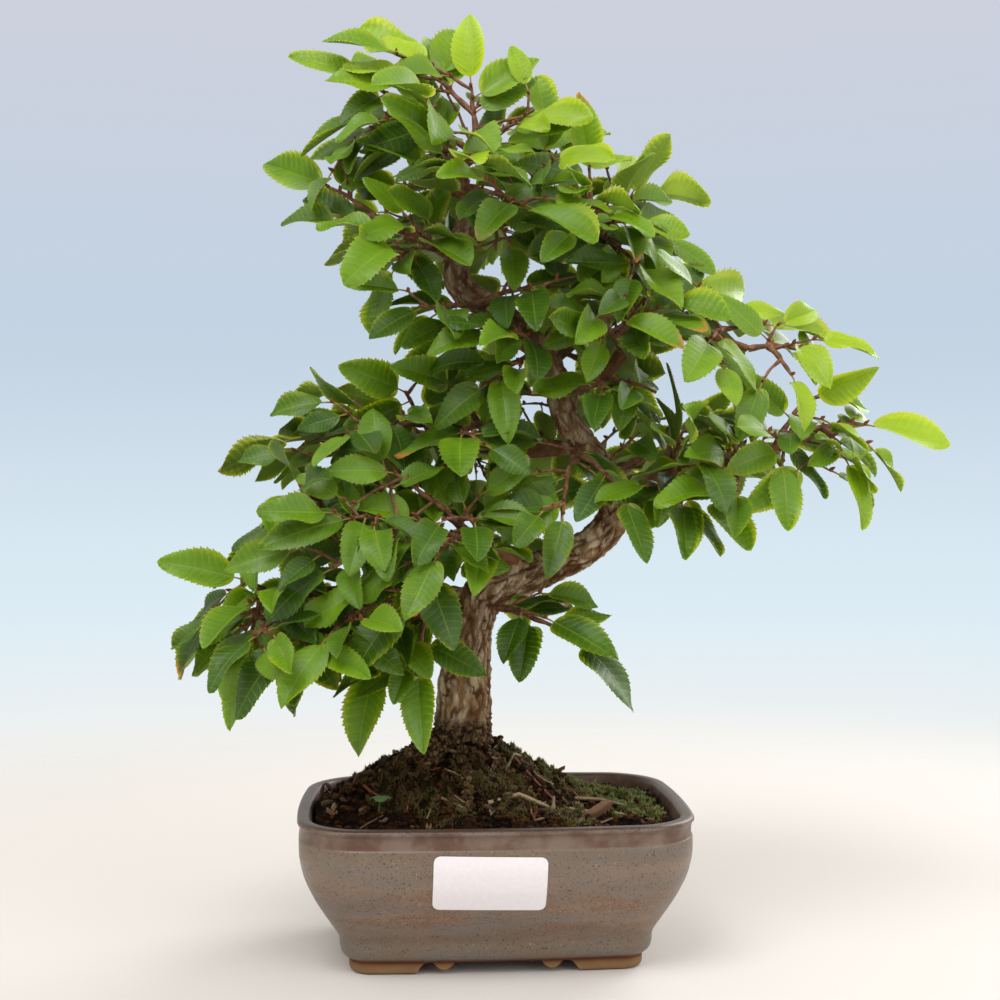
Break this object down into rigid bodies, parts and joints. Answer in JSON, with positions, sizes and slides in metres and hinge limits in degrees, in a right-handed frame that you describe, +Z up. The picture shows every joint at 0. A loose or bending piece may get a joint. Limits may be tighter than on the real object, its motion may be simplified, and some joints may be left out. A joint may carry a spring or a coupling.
{
  "type": "potted hornbeam bonsai",
  "caption": "Informal upright hornbeam bonsai with a doubly bent trunk and toothed leaves, planted in a glazed rectangular pot on cut feet.",
  "frame": {"origin": "on the surface that the pot stands on, under the middle of the whole plant's box", "axes": "+Z up, the pot's long side along X, the pot's and the tree's front towards -Y"},
  "size_m": [0.376, 0.1878, 0.4482],
  "materials": {
    "glaze": "satin",
    "earth": "matte",
    "bark": "matte",
    "foliage": "satin",
    "plastic": "matte",
    "paper": "matte"
  },
  "bodies": {
    "root": {"drain_screen_left": "plastic", "drain_screen_right": "plastic", "label": "paper", "leafy_stem_01_low_left": "foliage", "leafy_stem_02_low_left": "foliage", "leafy_stem_03_low_left": "foliage", "leafy_stem_04_low_left": "foliage", "leafy_stem_05_low_left": "foliage", "leafy_stem_06_low_left": "foliage", "leafy_stem_07_front_left": "foliage", "leafy_stem_08_front_left": "foliage", "leafy_stem_09_front_left": "foliage", "leafy_stem_10_mid_left": "foliage", "leafy_stem_11_mid_left": "foliage", "leafy_stem_12_mid_left": "foliage", "leafy_stem_13_mid_left": "foliage", "leafy_stem_14_mid_left": "foliage", "leafy_stem_15_upper_left": "foliage", "leafy_stem_16_upper_left": "foliage", "leafy_stem_17_upper_left": "foliage", "leafy_stem_18_upper_left": "foliage", "leafy_stem_19_upper_left": "foliage", "leafy_stem_20_upper_left": "foliage", "leafy_stem_21_low_right": "foliage", "leafy_stem_22_low_right": "foliage", "leafy_stem_23_low_right": "foliage", "leafy_stem_24_low_right": "foliage", "leafy_stem_25_low_right": "foliage", "leafy_stem_26_back_right": "foliage", "leafy_stem_27_back_right": "foliage", "leafy_stem_28_mid_right": "foliage", "leafy_stem_29_mid_right": "foliage", "leafy_stem_30_mid_right": "foliage", "leafy_stem_31_mid_right": "foliage", "leafy_stem_32_mid_right": "foliage", "leafy_stem_33_mid_right": "foliage", "leafy_stem_34_mid_back": "foliage", "leafy_stem_35_mid_back": "foliage", "leafy_stem_36_trunk": "foliage", "leafy_stem_37_trunk": "foliage", "leafy_stem_38_trunk": "foliage", "leafy_stem_39_trunk": "foliage", "leafy_stem_40_crown_right": "foliage", "leafy_stem_41_crown_right": "foliage", "leafy_stem_42_crown_right": "foliage", "leafy_stem_43_crown_right": "foliage", "leafy_stem_44_crown_right": "foliage", "leafy_stem_45_crown_left": "foliage", "leafy_stem_46_crown_left": "foliage", "leafy_stem_47_crown_left": "foliage", "leafy_stem_48_crown_back": "foliage", "leafy_stem_49_apex": "foliage", "leafy_stem_50_apex": "foliage", "leafy_stem_51_apex": "foliage", "leafy_stem_52_apex": "foliage", "leafy_stem_53_apex": "foliage", "pot": "glaze", "soil": "earth", "trunk_and_limbs": "bark"}
  },
  "joints": []
}
